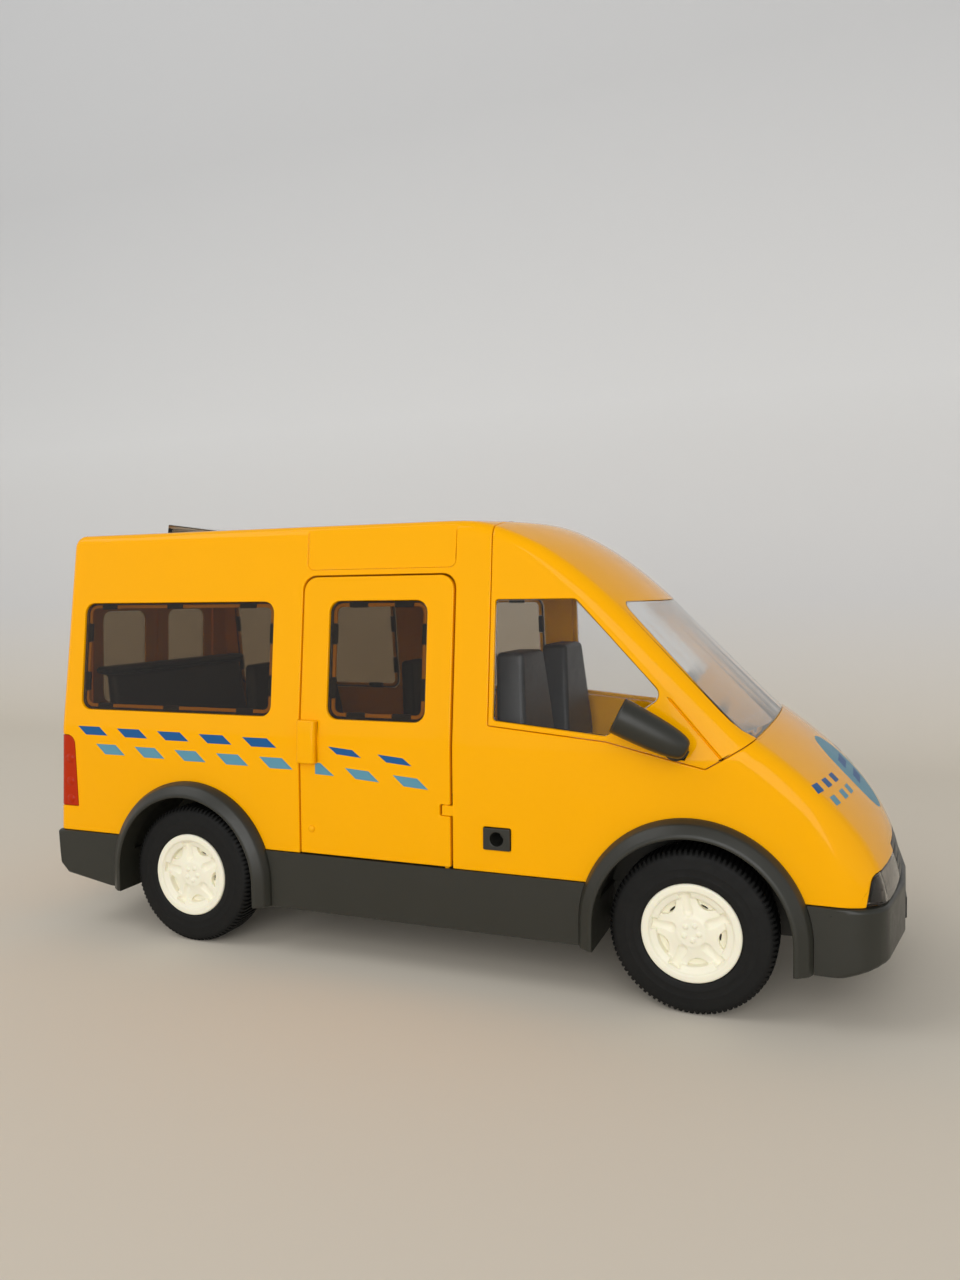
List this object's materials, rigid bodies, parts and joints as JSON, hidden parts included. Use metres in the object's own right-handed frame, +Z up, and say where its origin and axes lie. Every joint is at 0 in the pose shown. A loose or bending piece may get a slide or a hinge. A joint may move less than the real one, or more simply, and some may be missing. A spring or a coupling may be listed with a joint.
{
  "type": "toy minibus",
  "caption": "Yellow toy minibus with opening side and rear doors, lift-off cab roof, tilting roof hatch, seats for toy figures and free-rolling wheels.",
  "frame": {"origin": "centre of the bounding box's bottom face, on the ground under the middle of the vehicle", "axes": "+X forward along the vehicle's length, +Y to the vehicle's left, +Z up"},
  "size_m": [0.3076, 0.1378, 0.1564],
  "materials": {
    "body_yellow": "glossy moulded plastic",
    "trim_grey": "satin moulded plastic",
    "plate_black": "satin",
    "interior_grey": "satin moulded plastic",
    "clear_pane": "clear",
    "tinted_pane": "tinted",
    "lamp_clear": "clear over a bright reflector",
    "lamp_red": "transparent red",
    "axle_steel": "plain steel",
    "rim_ivory": "satin moulded plastic",
    "tyre_black": "matt"
  },
  "bodies": {
    "body": {"chassis": "trim_grey", "sill_right": "trim_grey", "sill_left": "trim_grey", "front_bumper": "trim_grey", "rear_bumper": "trim_grey", "front_plate": "plate_black", "arch_front_right": "trim_grey", "arch_front_left": "trim_grey", "arch_rear_right": "trim_grey", "arch_rear_left": "trim_grey", "roof_panel": "body_yellow", "rear_frame": "body_yellow", "side_panel_left": "body_yellow", "side_panel_rear_right": "body_yellow", "side_panel_front_right": "body_yellow", "bonnet": "body_yellow", "rear_window_right": "tinted_pane", "rear_window_left": "tinted_pane", "middle_window_left": "tinted_pane", "headlight_right": "lamp_clear", "headlight_left": "lamp_clear", "grille": "trim_grey", "tail_light_right": "lamp_red", "tail_light_left": "lamp_red", "accessory_socket": "trim_grey", "front_seat_right": "interior_grey", "front_seat_left": "interior_grey", "single_seat": "interior_grey", "double_seat": "interior_grey", "rear_bench": "interior_grey", "dashboard": "interior_grey", "steering_column": "interior_grey"},
    "cab_roof": {"cab_roof": "body_yellow", "windscreen": "clear_pane", "cab_window_right": "clear_pane", "cab_window_left": "clear_pane"},
    "mirror_right": {"mirror_right": "trim_grey"},
    "mirror_left": {"mirror_left": "trim_grey"},
    "side_door": {"side_door": "body_yellow", "side_door_window": "tinted_pane"},
    "rear_door_right": {"rear_door_right": "body_yellow", "rear_door_window_right": "tinted_pane"},
    "rear_door_left": {"rear_door_left": "body_yellow", "rear_door_window_left": "tinted_pane"},
    "roof_hatch": {"roof_hatch": "tinted_pane"},
    "front_wheels": {"front_axle": "axle_steel", "rim_front_right": "rim_ivory", "rim_front_left": "rim_ivory", "tyre_front_right": "tyre_black", "tyre_front_left": "tyre_black"},
    "rear_wheels": {"rear_axle": "axle_steel", "rim_rear_right": "rim_ivory", "rim_rear_left": "rim_ivory", "tyre_rear_right": "tyre_black", "tyre_rear_left": "tyre_black"},
    "steering_wheel": {"steering_wheel": "interior_grey"}
  },
  "joints": [
    {"name": "side_door_hinge", "type": "hinge", "parent": "body", "child": "side_door", "pos_m": [0.0128, -0.0532, 0.06], "axis": [0, 0, 1], "range_deg": [0, 100]},
    {"name": "rear_door_right_hinge", "type": "hinge", "parent": "body", "child": "rear_door_right", "pos_m": [-0.1515, -0.0371, 0.03696], "axis": [0.0346, 0, 0.9994], "range_deg": [0, 105]},
    {"name": "rear_door_left_hinge", "type": "hinge", "parent": "body", "child": "rear_door_left", "pos_m": [-0.1515, 0.0371, 0.03696], "axis": [-0.0346, 0, -0.9994], "range_deg": [0, 105]},
    {"name": "roof_hatch_hinge", "type": "hinge", "parent": "body", "child": "roof_hatch", "pos_m": [-0.086, 0, 0.1499], "axis": [0, 1, 0], "range_deg": [-8, 52]},
    {"name": "front_wheels_spin", "type": "hinge", "parent": "body", "child": "front_wheels", "pos_m": [0.0926, 0, 0.025], "axis": [0, 1, 0], "continuous": true},
    {"name": "rear_wheels_spin", "type": "hinge", "parent": "body", "child": "rear_wheels", "pos_m": [-0.0894, 0, 0.025], "axis": [0, 1, 0], "continuous": true},
    {"name": "cab_roof_lift", "type": "slide", "parent": "body", "child": "cab_roof", "axis": [0, 0, 1], "range_m": [0, 0.07]},
    {"name": "mirror_right_swivel", "type": "hinge", "parent": "cab_roof", "child": "mirror_right", "pos_m": [0.0885, -0.054, 0.0805], "axis": [0, 1, 0], "range_deg": [-20, 20]},
    {"name": "mirror_left_swivel", "type": "hinge", "parent": "cab_roof", "child": "mirror_left", "pos_m": [0.0885, 0.054, 0.0805], "axis": [0, 1, 0], "range_deg": [-20, 20]},
    {"name": "steering_turn", "type": "hinge", "parent": "body", "child": "steering_wheel", "pos_m": [0.07, 0.025, 0.078], "axis": [-0.5736, 0, 0.8192], "continuous": true}
  ]
}
